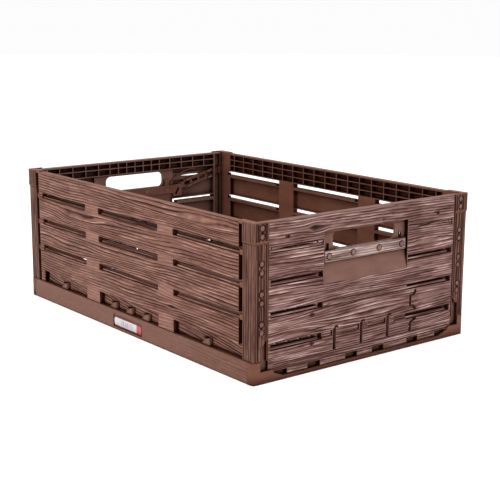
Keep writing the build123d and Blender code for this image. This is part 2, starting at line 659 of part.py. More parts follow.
def leaf_spring():
    """A curved leaf between the carrier's shoulder and the end wall's rib, on the +Y side."""
    strip = Plane.YZ * trace(ThreePointArc(*SPRING_POINTS), SPRING_THICK)
    leaf = extrude(strip, CARRIER_X[1] - CARRIER_X[0], dir=(1, 0, 0))
    leaf = Pos(CARRIER_X[0], 0, 0) * leaf
    foot = block(CARRIER_X, (SPRING_POINTS[2][0] - 2, SPRING_POINTS[2][0] + 4), (187.0, 190.0))
    return leaf + foot


# ---- label ----

def label(x):
    back = RIM_OUT - LABEL_POCKET_DEPTH
    return near_side(x, (back, back + LABEL_THICK), LABEL_Z)


def label_card():
    card = label(LABEL_CARD_X)
    ends = card.edges().filter_by(Axis.Y).group_by(Axis.X)[0]
    return fillet(ends, LABEL_ROUND)


def write(name, shape):
    export_step(shape, f"parts/{name}.step")


write("base_tray", base_tray())
long_side = long_wall()
write("long_wall_near", long_side)
write("long_wall_far", half_turn(long_side))
write("label_card", label_card())
write("label_tab", label(LABEL_TAB_X))

NEAR_END = {
    "end_wall": end_wall(),
    "lift_bar": lift_bar(),
    "latch_carrier": latch_carrier(),
    "bar_pins": bar_pins(),
}
RIGHT_SIDE = {"latch_arm": latch_arm(), "leaf_spring": leaf_spring()}

for end_name, place in (("near", as_is), ("far", half_turn)):
    for name, shape in NEAR_END.items():
        write(f"{name}_{end_name}", place(shape))
    for side_name, side in (("right", as_is), ("left", mirrored_y)):
        for name, shape in RIGHT_SIDE.items():
            write(f"{name}_{end_name}_{side_name}", place(side(shape)))
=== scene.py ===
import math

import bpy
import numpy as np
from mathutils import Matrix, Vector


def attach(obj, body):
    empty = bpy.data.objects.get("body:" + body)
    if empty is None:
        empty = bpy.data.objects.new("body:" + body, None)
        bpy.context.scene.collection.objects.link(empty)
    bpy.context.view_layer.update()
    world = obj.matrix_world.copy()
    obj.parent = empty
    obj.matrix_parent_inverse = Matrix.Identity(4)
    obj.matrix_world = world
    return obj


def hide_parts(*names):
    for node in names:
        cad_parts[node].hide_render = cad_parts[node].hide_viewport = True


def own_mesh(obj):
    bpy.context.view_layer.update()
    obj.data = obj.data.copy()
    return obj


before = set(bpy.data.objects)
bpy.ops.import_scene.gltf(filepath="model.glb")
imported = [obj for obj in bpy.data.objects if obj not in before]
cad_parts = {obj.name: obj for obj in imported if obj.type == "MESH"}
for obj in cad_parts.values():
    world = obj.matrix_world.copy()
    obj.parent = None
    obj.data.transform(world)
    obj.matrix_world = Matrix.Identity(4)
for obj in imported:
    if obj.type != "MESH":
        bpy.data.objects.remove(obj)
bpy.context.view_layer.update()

# Looks of a collapsible storage crate with wood-look plastic walls.
# The CAD nodes stay as the structure and the inside. Every outer board, post and rim gets a relief
# skin with its own growth rings, knots, cracks and nail marks.
# Lengths are in millimetres and become metres when a mesh is made. Camera, lights and floor are in metres.

MM = 0.001

# ---- faces that the relief skins lie on, in millimetres ----
END_FACE = 298.0
LONG_FACE = 198.5
POST_FACE = 298.5
COLLAR_FACE = 299.4
COLLAR_SIDE = 199.5
RIM_FACE = 199.6
BAR_FACE = 296.2
STRIP_FACE = 296.6
LABEL_FACE = 199.2
JAMB_Y = 78.5           # the recess's side walls, on both sides of the middle
SKIN_DEPTH = 0.8        # how far a skin's hidden back lies inside the CAD wall
PROUD = 0.65            # how far a board's highest grain stands off the CAD face
RELIEF = 0.6            # depth of the deepest grain line
EDGE_ROUND = 0.9        # width of a board's worn edge
EDGE_DROP = 0.12        # how far a skin's outline dips below the CAD face
LEAST_PROUD = 0.03      # how far the deepest dent still stands off the CAD face

# the far end and side are the near ones turned half round
TURNS = (("near", False), ("far", True))
SIDES = (1, -1)
CORNERS = ((1, "right"), (-1, "left"))


# ---- seeded noise and wood grain ----

def smooth(t):
    """An eased step from 0 to 1."""
    t = np.clip(t, 0.0, 1.0)
    return t * t * (3 - 2 * t)


def noise(a, b, seed):
    """Smooth noise from -1 to 1 with one feature per unit of a and b."""
    table = np.random.default_rng(seed).uniform(-1, 1, (64, 64))
    ia, ib = np.floor(a).astype(int), np.floor(b).astype(int)
    fa, fb = smooth(a - ia), smooth(b - ib)

    def corner(i, j):
        return table[(ia + i) % 64, (ib + j) % 64]

    low = corner(0, 0) * (1 - fa) + corner(1, 0) * fa
    high = corner(0, 1) * (1 - fa) + corner(1, 1) * fa
    return low * (1 - fb) + high * fb


# waves that bend the grain: (share of sway, length along the grain, length across it)
WAVES = ((1.0, 170, 45), (0.35, 60, 16), (0.1, 17, 5))
GROOVE_AT, GROOVE_WIDTH = 0.5, 0.13     # where a ring's groove lies, as a share of its spacing
LIP_AT, LIP_WIDTH = 0.8, 0.15           # and the raised lip beside it
PLAIN_HEIGHT = 0.78                     # height of the wood where nothing is carved
FIBRE_DEPTH = 0.16
CALM_SHARE = 0.2                        # how much of the carving stays where the grain is calm
QUIET_REACH, QUIET_SHARE = 7.0, 0.7     # how far round a quiet patch the carving fades, and by how much


def wood(along, across, seed, field=0, spacing=4.5, sway=3.0, slant=0.0, groove=0.6, lip=0.28, streak=0.12,
         knots=(), arches=(), calm=None, quiet=()):
    """Grain height from 0 in a groove to 1 on a ridge, and the flow line each point lies on.

    field seeds the waves that neighbouring boards share, seed the lines themselves.
    A knot is (along, across, bend, length, height): above a bend of 1 the lines close into rings.
    An arch is (start, across, rise, length, height): nested tongues that open along the grain.
    calm is a pair of places along the grain, from where the grain is smooth to where it is full.
    quiet lists (along range, across range) patches that are nearly smooth."""
    flow = across + slant * along
    for n, (share, length, height) in enumerate(WAVES):
        flow = flow + share * sway * noise(along / length, across / height, field + 1 + n)
    for at, up, bend, length, height in knots:
        reach = np.exp(-((along - at) / length) ** 2 - ((across - up) / height) ** 2)
        flow = flow - (across - up) * bend * reach
    for start, up, rise, length, height in arches:
        past = along - start
        ridge = smooth(past / length) * (1 - smooth((past - 1.6 * length) / (2.4 * length)))
        flow = flow + rise * ridge * np.exp(-((across - up) / height) ** 2)
    ring = flow / spacing + 0.35 * noise(flow / 13, along / 400, seed + 2)
    phase = ring - np.floor(ring)
    line = np.exp(-((phase - GROOVE_AT) / GROOVE_WIDTH) ** 2)
    edge = np.exp(-((phase - LIP_AT) / LIP_WIDTH) ** 2)
    index = np.floor(ring) * 0.77 + 0.4
    fade = 0.35 + 0.65 * smooth(0.55 + 0.9 * noise(along / 55, index, seed + 3))
    shine = smooth(0.5 + 0.8 * noise(along / 40, index + 9, seed + 6))
    fibre = 0.5 - 0.5 * noise(along / 9, flow / 1.3, seed + 4)
    band = 0.5 - 0.5 * noise(along / 30, flow / 2.2, seed + 5)
    carved = groove * line * fade - lip * edge * shine + FIBRE_DEPTH * fibre
    carved = carved + streak * smooth(band * 1.5 - 0.25)
    if calm:
        carved = carved * (CALM_SHARE + (1 - CALM_SHARE) * smooth((along - calm[0]) / (calm[1] - calm[0])))
    for span, rise in quiet:
        near = smooth(1 - outside_box(span, rise)(along, across) / QUIET_REACH)
        carved = carved * (1 - QUIET_SHARE * near)
    return np.clip(PLAIN_HEIGHT - carved, 0, 1), flow


# ---- distances to outlines, positive outside ----

def outside_box(u, v):
    """Signed distance to a box. Its edges are where grid lines have to pass."""
    def distance(a, b):
        du = np.maximum(u[0] - a, a - u[1])
        dv = np.maximum(v[0] - b, b - v[1])
        return np.hypot(np.maximum(du, 0), np.maximum(dv, 0)) + np.minimum(np.maximum(du, dv), 0)
    distance.edges = (u, v)
    return distance


def outside_shape(points):
    """Signed distance to a closed outline given by its corners."""
    corners = np.array(points, float)

    def distance(a, b):
        best = np.full(a.shape, 1e9)
        inside = np.zeros(a.shape, bool)
        for p, q in zip(corners, np.roll(corners, -1, axis=0)):
            run = q - p
            t = np.clip(((a - p[0]) * run[0] + (b - p[1]) * run[1]) / (run @ run), 0, 1)
            best = np.minimum(best, np.hypot(a - p[0] - t * run[0], b - p[1] - t * run[1]))
            rise = run[1] if run[1] else 1e-9
            crosses = ((p[1] > b) != (q[1] > b)) & (a < p[0] + run[0] * (b - p[1]) / rise)
            inside ^= crosses
        return np.where(inside, -best, best)
    distance.edges = ((), ())
    return distance


def lines_between(span, breaks, pitch):
    """Grid lines over a span that pass through every break."""
    stops = sorted({span[0], span[1], *[b for b in breaks if span[0] < b < span[1]]})
    pieces = []
    for a, b in zip(stops, stops[1:]):
        count = max(1, int(round((b - a) / pitch)))
        pieces.append(np.linspace(a, b, count + 1)[:-1])
    return np.concatenate(pieces + [np.array([span[1]])])


# ---- places: (u, v, height) on a face to (x, y, z) ----

def on_end(face=END_FACE):
    def place(u, v, h):
        return np.stack([face + h, u, v], axis=-1)
    return place


def on_long(face=LONG_FACE):
    def place(u, v, h):
        return np.stack([u, -face - h, v], axis=-1)
    return place


def on_jamb(side):
    """Places (x, z, height) points on the recess's right or left side wall."""
    return lambda x, z, h: np.stack([x, side * (JAMB_Y - h), z], axis=-1)


def half_turn(points):
    """The same points turned half round the upright axis."""
    return points * np.array([-1.0, -1.0, 1.0])


def new_piece(name, points, faces, material, body, turn=False, attributes=None, uv=None, shade_smooth=True):
    """A mesh in metres from points in millimetres, on the body it moves with."""
    if turn:
        points = half_turn(points)
    mesh = bpy.data.meshes.new(name)
    mesh.from_pydata((points * MM).tolist(), [], faces)
    piece = bpy.data.objects.new(name, mesh)
    bpy.context.scene.collection.objects.link(piece)
    mesh.materials.append(material)
    for key, values in (attributes or {}).items():
        layer = mesh.attributes.new(key, "FLOAT", "POINT")
        layer.data.foreach_set("value", values.astype(np.float32))
    if uv is not None:
        layer = mesh.uv_layers.new(name="grain_uv")
        corner = np.zeros(len(mesh.loops), np.int32)
        mesh.loops.foreach_get("vertex_index", corner)
        layer.data.foreach_set("uv", uv[corner].astype(np.float32).ravel())
    if shade_smooth:
        mesh.shade_smooth()
    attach(piece, body)
    return piece


UV_PER_MM = 0.01


def pulled_in(distance, a, b):
    """Moves the grid points that lie past an outline onto it."""
    step = 0.05
    for _ in range(3):
        d = distance(a, b)
        grad_a = (distance(a + step, b) - distance(a - step, b)) / (2 * step)
        grad_b = (distance(a, b + step) - distance(a, b - step)) / (2 * step)
        push = np.where(d < 0, -d, 0)
        a, b = a + push * grad_a, b + push * grad_b
    return a, b


def numbered(kept):
    """The grid points that the kept cells use, and each kept cell as four point numbers."""
    used = np.zeros((kept.shape[0] + 1, kept.shape[1] + 1), bool)
    used[:-1, :-1] |= kept
    used[1:, :-1] |= kept
    used[:-1, 1:] |= kept
    used[1:, 1:] |= kept
    index = np.full(used.shape, -1)
    index[used] = np.arange(used.sum())
    i, j = np.nonzero(kept)
    return used, np.stack([index[i, j], index[i + 1, j], index[i + 1, j + 1], index[i, j + 1]], axis=-1)


def closed_faces(quads, count):
    """The front's quads, the same mirrored on a back numbered count further on, and the skirt between."""
    edges = np.concatenate([quads[:, [k, (k + 1) % 4]] for k in range(4)])
    forward = edges[:, 0] * count + edges[:, 1]
    backward = edges[:, 1] * count + edges[:, 0]
    rim = edges[~np.isin(forward, backward)]
    skirt = np.stack([rim[:, 1], rim[:, 0], rim[:, 0] + count, rim[:, 1] + count], axis=-1)
    return np.concatenate([quads, skirt, quads[:, ::-1] + count]).tolist()


def relief_skin(name, place, u, v, seed, material, body, holes=(), upright=False, pitch=(1.9, 0.68),
                proud=PROUD, relief=RELIEF, edge_round=EDGE_ROUND, dents=(), turn=False, **grain):
    """A closed skin over a face, carved with grain that runs along u, or along v when upright."""
    if upright:
        pitch = (pitch[1], pitch[0])
    u_lines = lines_between(u, [x for hole in holes for x in hole.edges[0]], pitch[0])
    v_lines = lines_between(v, [x for hole in holes for x in hole.edges[1]], pitch[1])
    a, b = np.meshgrid(u_lines, v_lines, indexing="ij")
    border = outside_box(u, v)

    def inner_distance(a, b):
        d = -border(a, b)
        for hole in holes:
            d = np.minimum(d, hole(a, b))
        return d

    mid_a = (a[:-1, :-1] + a[1:, 1:]) / 2
    mid_b = (b[:-1, :-1] + b[1:, 1:]) / 2
    kept = inner_distance(mid_a, mid_b) > 0
    a, b = pulled_in(inner_distance, a, b)
    d = np.maximum(inner_distance(a, b), 0)
    height, flow = wood(b, a, seed, **grain) if upright else wood(a, b, seed, **grain)
    # the colour tone follows the carving, so that painted shade darkens the grooves
    shade = height.copy()
    surface = proud - relief * (1 - height)
    for dent in dents:
        depth, dark = dent(a, b)
        surface = surface - depth
        # painted shade: each dent darkens the colour tone
        shade = shade * (1 - dark)
    rounded = np.sqrt(np.clip(1 - (1 - np.clip(d / edge_round, 0, 1)) ** 2, 0, 1))
    surface = np.maximum(surface, LEAST_PROUD) * rounded - EDGE_DROP * (1 - rounded)
    used, quads = numbered(kept)
    front = place(a, b, surface)[used]
    back = place(a, b, np.full(a.shape, -SKIN_DEPTH))[used]
    tone = np.tile(shade[used], 2)
    run = (b if upright else a)[used]
    uv = np.tile(np.stack([run, flow[used]], axis=-1) * UV_PER_MM, (2, 1))
    shell = np.concatenate([front, back])
    faces = closed_faces(quads, len(front))
    new_piece(name, shell, faces, material, body, turn, {"grain": tone}, uv)


# ---- marks in the boards: each gives how deep it is at a point and how much painted shade darkens it there ----

CUT_DEPTH = 0.6
CUT_SHADE = 0.95


def nail_hole(at, radius=2.4):
    """A nail driven in, with the wood pushed up round it."""
    def dent(a, b):
        r = np.hypot(a - at[0], (b - at[1]) * 1.1) / radius
        hollow = 1 - smooth(r)
        ring = np.exp(-((r - 1.5) / 0.35) ** 2)
        # painted shade darkens the hollow
        return 0.65 * hollow - 0.25 * ring, 0.97 * smooth(1.6 * (1.15 - r))
    return dent


def crack(start, end, width):
    """A lens-shaped split from one point to another."""
    def dent(a, b):
        run = np.array([end[0] - start[0], end[1] - start[1]])
        t = ((a - start[0]) * run[0] + (b - start[1]) * run[1]) / (run @ run)
        side = ((b - start[1]) * run[0] - (a - start[0]) * run[1]) / np.hypot(*run)
        half = np.maximum(width / 2 * np.sin(np.pi * np.clip(t, 0, 1)) ** 0.7, 1e-3)
        inside = smooth(1.6 - np.abs(side) / half) * (t > 0) * (t < 1)
        return CUT_DEPTH * inside, CUT_SHADE * inside
    return dent


def knot_mark(at, radius):
    """A knot's sunken heart with its broken rings."""
    def dent(a, b):
        r = np.hypot((a - at[0]) / 1.25, b - at[1]) / radius
        rings = 0.5 - 0.5 * np.cos(r * 9.0 + 1.5 * noise(a / 3, b / 3, 811))
        inside = smooth(1.3 - r)
        # painted shade darkens the sunken rings
        return 0.3 * rings * inside, 0.55 * rings * inside
    return dent


def ring_cut(at, radius=4.1, width=1.7):
    """The round seat of a nail head, darkened with painted shade."""
    def dent(a, b):
        r = np.hypot(a - at[0], b - at[1])
        inside = smooth(1.5 - np.abs(r - radius) / (width / 2))
        return CUT_DEPTH * inside, 0.97 * inside
    return dent


def arc_cut(at, radius, width=1.1, lower=0.0):
    """A curved scratch over the top of a nail's place."""
    def dent(a, b):
        r = np.hypot(a - at[0], b - at[1])
        inside = smooth(1.6 - np.abs(r - radius) / (width / 2)) * (b > at[1] + lower)
        return CUT_DEPTH * inside, CUT_SHADE * inside
    return dent


def line_down(at, width, low=-1e3, high=1e3):
    """An upright cut in a post, darkened with painted shade."""
    def dent(a, b):
        inside = smooth(1.5 - np.abs(a - at) / (width / 2)) * (b > low) * (b < high)
        return CUT_DEPTH * inside, CUT_SHADE * inside
    return dent


# ---- materials ----

PLASTIC_SPECULAR = 0.1
HOLLOW_SPECULAR = -0.06         # run past zero, so that a hollow turns fully dull before it is closed in
# occlusion values over which the painted shade in hollows goes from darkest to none
HOLLOW_FROM, HOLLOW_TO = 0.4, 0.9
TONE_HEIGHTS = (0.08, 0.42, 0.72, 1.0)
FIBRE_SCALE = (9.0, 95.0, 1.0)
CLOUD_SCALE = (1.6, 6.0, 1.0)
MOTTLE_SCALE = (28.0, 28.0, 60.0)
BUMP_HEIGHT = 0.0002


def srgb(red, green, blue):
    """A linear colour from 0-255 display values."""
    def linear(c):
        c = c / 255
        return c / 12.92 if c <= 0.04045 else ((c + 0.055) / 1.055) ** 2.4
    return (linear(red), linear(green), linear(blue), 1.0)


def shader(name, roughness, specular):
    """A new material, its node tree and its surface node."""
    material = bpy.data.materials.new(name)
    material.use_nodes = True
    tree = material.node_tree
    surface = tree.nodes["Principled BSDF"]
    surface.inputs["Roughness"].default_value = roughness
    surface.inputs["Specular IOR Level"].default_value = specular
    return material, tree, surface


def scaled_noise(tree, source, scale, detail):
    """Noise over stretched coordinates."""
    mapping = tree.nodes.new("ShaderNodeMapping")
    mapping.inputs["Scale"].default_value = scale
    tree.links.new(source, mapping.inputs["Vector"])
    texture = tree.nodes.new("ShaderNodeTexNoise")
    texture.inputs["Scale"].default_value = 1.0
    texture.inputs["Detail"].default_value = detail
    texture.inputs["Roughness"].default_value = 0.55
    tree.links.new(mapping.outputs["Vector"], texture.inputs["Vector"])
    return texture.outputs["Fac"]


def ramp(tree, source, stops):
    """Colours by a value, from (value, colour) stops."""
    node = tree.nodes.new("ShaderNodeValToRGB")
    for _ in range(len(stops) - 2):
        node.color_ramp.elements.new(0.5)
    for element, (at, colour) in zip(node.color_ramp.elements, stops):
        element.position = at
        element.color = colour
    tree.links.new(source, node.inputs["Fac"])
    return node.outputs["Color"]


def map_range(tree, source, low, high):
    """A value from 0 to 1 spread over another range."""
    node = tree.nodes.new("ShaderNodeMapRange")
    node.inputs["To Min"].default_value = low
    node.inputs["To Max"].default_value = high
    tree.links.new(source, node.inputs["Value"])
    return node.outputs["Result"]


def multiply(tree, first, second):
    node = tree.nodes.new("ShaderNodeMix")
    node.data_type = "RGBA"
    node.blend_type = "MULTIPLY"
    node.inputs["Factor"].default_value = 1.0
    tree.links.new(first, node.inputs["A"])
    tree.links.new(second, node.inputs["B"])
    return node.outputs["Result"]


def paint_hollow_shade(tree, surface, colour, reach, deepest=0.1):
    """Paints shade into a surface's colour where it is closely walled in, as the hollows of a moulding are,
    and dulls its reflection there.
    """
    near = tree.nodes.new("ShaderNodeAmbientOcclusion")
    near.samples = 8
    near.inputs["Distance"].default_value = reach
    dark = (deepest, deepest * 0.7, deepest * 0.6, 1)
    # painted shade: the colour darkens where ambient occlusion finds walls close by
    shade = ramp(tree, near.outputs["AO"], [(HOLLOW_FROM, dark), (HOLLOW_TO, (1, 1, 1, 1))])
    tree.links.new(multiply(tree, colour, shade), surface.inputs["Base Color"])
    gloss = map_range(tree, near.outputs["AO"], HOLLOW_SPECULAR, PLASTIC_SPECULAR)
    tree.links.new(gloss, surface.inputs["Specular IOR Level"])


def bump(tree, surface, source, strength):
    node = tree.nodes.new("ShaderNodeBump")
    node.inputs["Strength"].default_value = strength
    node.inputs["Distance"].default_value = BUMP_HEIGHT
    tree.links.new(source, node.inputs["Height"])
    tree.links.new(node.outputs["Normal"], surface.inputs["Normal"])


def grained_plastic(name, tones, roughness=0.5):
    """Wood-look plastic from four display colours: painted shade darkens the grooves, and the ridges are
    lighter from wear and a painted sheen.
    """
    material, tree, surface = shader(name, roughness, PLASTIC_SPECULAR)
    height = tree.nodes.new("ShaderNodeAttribute")
    height.attribute_name = "grain"
    uv = tree.nodes.new("ShaderNodeUVMap")
    uv.uv_map = "grain_uv"
    stops = [(at, srgb(*tone)) for at, tone in zip(TONE_HEIGHTS, tones)]
    colour = ramp(tree, height.outputs["Fac"], stops)
    fibre = scaled_noise(tree, uv.outputs["UV"], FIBRE_SCALE, 3.0)
    cloud = scaled_noise(tree, uv.outputs["UV"], CLOUD_SCALE, 2.0)
    grey = ramp(tree, fibre, [(0.25, (0.74, 0.74, 0.74, 1)), (0.75, (1.2, 1.2, 1.2, 1))])
    patch = ramp(tree, cloud, [(0.3, (0.94, 0.93, 0.93, 1)), (0.7, (1.05, 1.05, 1.05, 1))])
    colour = multiply(tree, multiply(tree, colour, grey), patch)
    # painted shade in the grain's hollows, reaching 4 mm
    paint_hollow_shade(tree, surface, colour, 0.004, 0.4)
    tree.links.new(map_range(tree, fibre, roughness - 0.08, roughness + 0.14), surface.inputs["Roughness"])
    bump(tree, surface, fibre, 0.5)
    return material


def moulded_plastic(name, dark, light, roughness=0.5, texture=900.0, strength=0.18, reach=0.02):
    """Plain moulded plastic with a fine eroded texture and slight mottling."""
    material, tree, surface = shader(name, roughness, PLASTIC_SPECULAR)
    place = tree.nodes.new("ShaderNodeTexCoord")
    cloud = scaled_noise(tree, place.outputs["Object"], MOTTLE_SCALE, 4.0)
    colour = ramp(tree, cloud, [(0.3, srgb(*dark)), (0.7, srgb(*light))])
    # painted shade in the moulding's hollows
    paint_hollow_shade(tree, surface, colour, reach)
    fine = scaled_noise(tree, place.outputs["Object"], (texture, texture, texture), 2.0)
    tree.links.new(map_range(tree, cloud, roughness - 0.06, roughness + 0.1), surface.inputs["Roughness"])
    bump(tree, surface, fine, strength)
    return material


# in each grain the low tones are painted shade for the grooves, the top tone wear and painted sheen on the
# ridges
LONG_WOOD = grained_plastic("long_wall_grain", ((24, 3, 0), (76, 38, 26), (129, 91, 78), (182, 144, 128)))
# the end walls' tones are a lighter, greyer copy of the long walls': painted sheen for the light on the end
# faces
END_WOOD_PAINTED_SHEEN = grained_plastic("end_wall_grain_painted_sheen", ((26, 4, 0), (84, 52, 46), (134, 103, 97), (200, 173, 167)))
POST_WOOD = grained_plastic("post_grain", ((16, 0, 0), (66, 34, 25), (106, 72, 61), (136, 102, 91)))
BAR_WOOD = grained_plastic("lift_bar_grain", ((50, 24, 18), (112, 88, 82), (156, 136, 130), (198, 180, 174)),
                           0.42)
RIM_WOOD = grained_plastic("rim_grain", ((56, 24, 14), (98, 63, 51), (115, 80, 68), (131, 97, 85)))
WALL_PLASTIC = moulded_plastic("wall_plastic", (104, 64, 49), (118, 77, 62))
BASE_PLASTIC = moulded_plastic("base_plastic", (100, 62, 48), (114, 76, 62))
SMOOTH_PLASTIC = moulded_plastic("smooth_plastic", (106, 74, 65), (118, 86, 77))
GUSSET_PLASTIC = moulded_plastic("gusset_plastic", (110, 76, 64), (126, 92, 80), reach=0.004)
# painted shade: near-black plastic for the recess's side walls, which lie in deep shade
JAMB_PAINTED_SHADE = moulded_plastic("jamb_painted_shade", (34, 10, 5), (50, 20, 13))
LATCH_PLASTIC = moulded_plastic("latch_plastic", (96, 60, 48), (112, 76, 64), 0.42)
BAR_PLASTIC = moulded_plastic("bar_plastic", (120, 92, 84), (140, 112, 104), 0.42)
RIVET_PLASTIC = moulded_plastic("rivet_plastic", (100, 68, 58), (122, 90, 80), 0.42)
PIN_PLASTIC = moulded_plastic("pin_plastic", (104, 74, 66), (132, 102, 94), 0.35)
LABEL_WHITE = moulded_plastic("label_white", (200, 192, 199), (214, 208, 213), 0.35, 400.0, 0.05)
LABEL_GREY = moulded_plastic("label_grey", (108, 104, 120), (140, 136, 150), 0.4, 400.0, 0.05)
LABEL_RED = moulded_plastic("label_red", (150, 46, 48), (182, 92, 95), 0.35, 400.0, 0.05)

NODE_MATERIALS = {
    "base_tray": BASE_PLASTIC,
    "long_wall": WALL_PLASTIC,
    "end_wall": SMOOTH_PLASTIC,
    "lift_bar": BAR_PLASTIC,
    "latch_carrier": LATCH_PLASTIC,
    "bar_pins": PIN_PLASTIC,
    "latch_arm": LATCH_PLASTIC,
    "leaf_spring": LATCH_PLASTIC,
    "label_card": LABEL_WHITE,
    "label_tab": LABEL_RED,
}
for node_name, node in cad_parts.items():
    for start, material in NODE_MATERIALS.items():
        if node_name.startswith(start):
            for slot in node.material_slots:
                slot.material = material

# ---- end walls: one skin over all the boards, near end first, then the same turned half round ----

SLOTS = ((41.5, 51.0), (85.5, 94.0), (128.0, 136.5), (171.0, 180.0))
SLOT_Y = (80.0, 170.0)
LEDGE_START = 8.0
PANEL = 173.5
RECESS = ((-78.5, 78.5), (118.0, 187.5))
BAND_Z = (44.0, 51.0)
BAND_Y = ((-80.0, -61.5), (-46.5, -11.5), (4.5, 39.5), (55.5, 80.0))
BAND_DEPTH = 1.8
LEDGE_DEPTH = 1.4
LEDGE_Z = (1.3, 4.1)            # a ledge's height above its slot's lower edge
SEAM_CUTS = ((85.5, 86.7), (92.8, 94.0))
SEAM_Z = (86.8, 92.7)
BOARDS_Z = (23.0, 212.3)
SILL_Z = (15.4, 22.0)
RAIL_Z = (5.9, 14.4)
RAIL_END = 164.0
STRAP_Y = (-60.0, -10.0, 41.0)
STRAP_SLOT = (0.0, 5.0)
STRAP_SLOT_Z = (23.0, 53.0)
STRAP_NOTCH = (-6.0, -1.5)
STRAP_NOTCH_Z = (44.0, 51.5)
STRAP_HOOK = ((2, 53), (3, 56), (6, 57), (9, 55.5), (9.2, 52.5), (7.6, 52.5), (6.5, 54.2), (5, 53.5))
UPPER_KEY = ((86, 60), (86, 78), (92, 78), (97, 84), (100, 84), (100, 79), (94, 75), (90, 75),
             (90, 62), (94, 62), (100, 58), (100, 53), (96, 53), (92, 59))
LOWER_KEY = ((86, 23), (91, 23), (91, 36), (101, 39), (101, 41.4), (94, 41.4), (86, 36))
HINGE_Y = (25.5, 94.0, 152.0)
HINGE_HALF = 11.0
HINGE_TOP = 13.5
CORNER_FOOT = ((150, 0), (150, 12.7), (165, 12.7), (168, 17.3), (180, 17.3), (180, 0))


def both(span):
    """A range on the positive side and its mirror image."""
    return [(span[0], span[1]), (-span[1], -span[0])]


MIDDLE = (-SLOT_Y[0], SLOT_Y[0])
end_holes = [outside_box(*RECESS), outside_shape(UPPER_KEY), outside_shape(LOWER_KEY)]
end_holes += [outside_box(MIDDLE, z) for z in SEAM_CUTS]
end_holes += [outside_box(y, z) for z in SLOTS for y in both(SLOT_Y)]
end_holes += [outside_box(y, BAND_Z) for y in BAND_Y]
for y in STRAP_Y:
    end_holes.append(outside_box((y + STRAP_SLOT[0], y + STRAP_SLOT[1]), STRAP_SLOT_Z))
    end_holes.append(outside_box((y + STRAP_NOTCH[0], y + STRAP_NOTCH[1]), STRAP_NOTCH_Z))
    end_holes.append(outside_shape([(y + dy, z) for dy, z in STRAP_HOOK]))
end_marks = [
    nail_hole((-99, 78)), arc_cut((-99, 76.5), 4.5, lower=1.0),
    nail_hole((-99, 38)), arc_cut((-99, 36.5), 4.5, lower=1.0),
    crack((-108, 57.5), (-60, 59.5), 1.4), crack((-105, 54.5), (-62, 53.5), 1.1),
    knot_mark((-94, 197), 5.5),
    nail_hole((-141, 190.5), 3.0), crack((-146, 187.5), (-145.5, 193.5), 1.6),
    nail_hole((139, 190.5), 3.2), crack((131, 192.5), (139, 191), 1.8),
    nail_hole((48, 199.5), 1.6), knot_mark((30, 193), 3.0),
    crack((-110, 87.5), (-60, 88.6), 0.9), crack((-40, 60.5), (60, 58.5), 1.0),
]
end_knots = [
    (-94, 197, 0.96, 15, 7), (-140, 72, -0.8, 60, 12), (20, 66, 0.6, 60, 14), (-40, 108, -0.6, 80, 12),
    (-120, 145, -0.8, 45, 10), (120, 150, 0.7, 60, 12), (130, 30, -0.7, 50, 10), (-150, 30, -0.8, 50, 9),
]
feet = [outside_shape([(s * y, z) for y, z in CORNER_FOOT]) for s in SIDES]
windows = [outside_box((s * y - HINGE_HALF, s * y + HINGE_HALF), (0, HINGE_TOP))
           for y in HINGE_Y for s in SIDES]
END_GRAIN = {"spacing": 3.6, "sway": 2.4, "groove": 0.58, "lip": 0.34, "streak": 0.26}

for end, turn in TURNS:
    common = {"material": END_WOOD_PAINTED_SHEEN, "body": f"{end}_end", "turn": turn, **END_GRAIN}
    relief_skin(f"end_boards_{end}", on_end(), (-PANEL, PANEL), BOARDS_Z, 11, holes=end_holes,
                dents=end_marks, knots=end_knots, **common)
    relief_skin(f"end_sill_{end}", on_end(), (-PANEL, PANEL), SILL_Z, 21, holes=feet, **common)
    relief_skin(f"end_rail_{end}", on_end(), (-RAIL_END, RAIL_END), RAIL_Z, 31, holes=windows, **common)
    relief_skin(f"end_seam_{end}", on_end(), MIDDLE, SEAM_Z, 41, proud=0.4, relief=0.38, **common)
    for n, y in enumerate(BAND_Y):
        relief_skin(f"end_band_{n}_{end}", on_end(END_FACE - BAND_DEPTH), y, BAND_Z, 51 + n, proud=0.5,
                    relief=0.45, **common)
    for n, (low, high) in enumerate(SLOTS[:-1]):
        ledge_z = (low + LEDGE_Z[0], low + LEDGE_Z[1])
        for m, y in enumerate(both(SLOT_Y)):
            relief_skin(f"end_ledge_{n}_{m}_{end}", on_end(END_FACE - LEDGE_DEPTH),
                        (y[0], y[1] - LEDGE_START), ledge_z, 61 + 2 * n + m, proud=0.6, relief=0.5, **common)

# ---- long walls: one skin from the hinge line to the top ----

BOARD_END = 268.0
LONG_SLOTS = ((84.0, 93.0), (127.0, 136.0), (170.0, 179.0))
LONG_OPENINGS = ((-256.0, -119.0), (-80.5, 80.5), (119.0, 268.0))
WINDOW_Z = (30.0, 49.5)
WINDOW_FACE = 190.5
WINDOW_SKIN_Z = (30.6, 49.2)
LONG_BOARDS_Z = (30.4, 212.3)
LONG_LEDGE_DEPTH = 1.6
LONG_LEDGE_Z = (0.3, 3.1)
GUSSET_GAP = ((-13.8, 6.8), (30.0, 40.0))      # the gap for a gusset, along x from its hinge and in z
PILLARS = ((-119.0, -80.5), (80.5, 119.0))
HINGE_X = (-194.0, -44.0, 0.0, 44.0, 194.0)
LONG_GRAIN = {"field": 7, "spacing": 4.3, "sway": 3.4, "groove": 0.68, "lip": 0.28, "streak": 0.12}
long_arches = [(-225, 153, 8, 60, 8), (-60, 110, -4, 110, 10), (40, 196, 4, 90, 9)]
long_knots = [(115, 67, 0.92, 12, 5), (20, 104, -0.7, 130, 12), (120, 142, -0.5, 90, 9),
              (60, 192, -0.7, 110, 11), (-200, 108, 0.5, 90, 12), (180, 200, 0.5, 90, 9)]
long_holes = [outside_box(x, z) for x in LONG_OPENINGS for z in LONG_SLOTS + (WINDOW_Z,)]
long_quiet = [(x, z) for x in PILLARS for z in LONG_SLOTS + (WINDOW_Z,)]

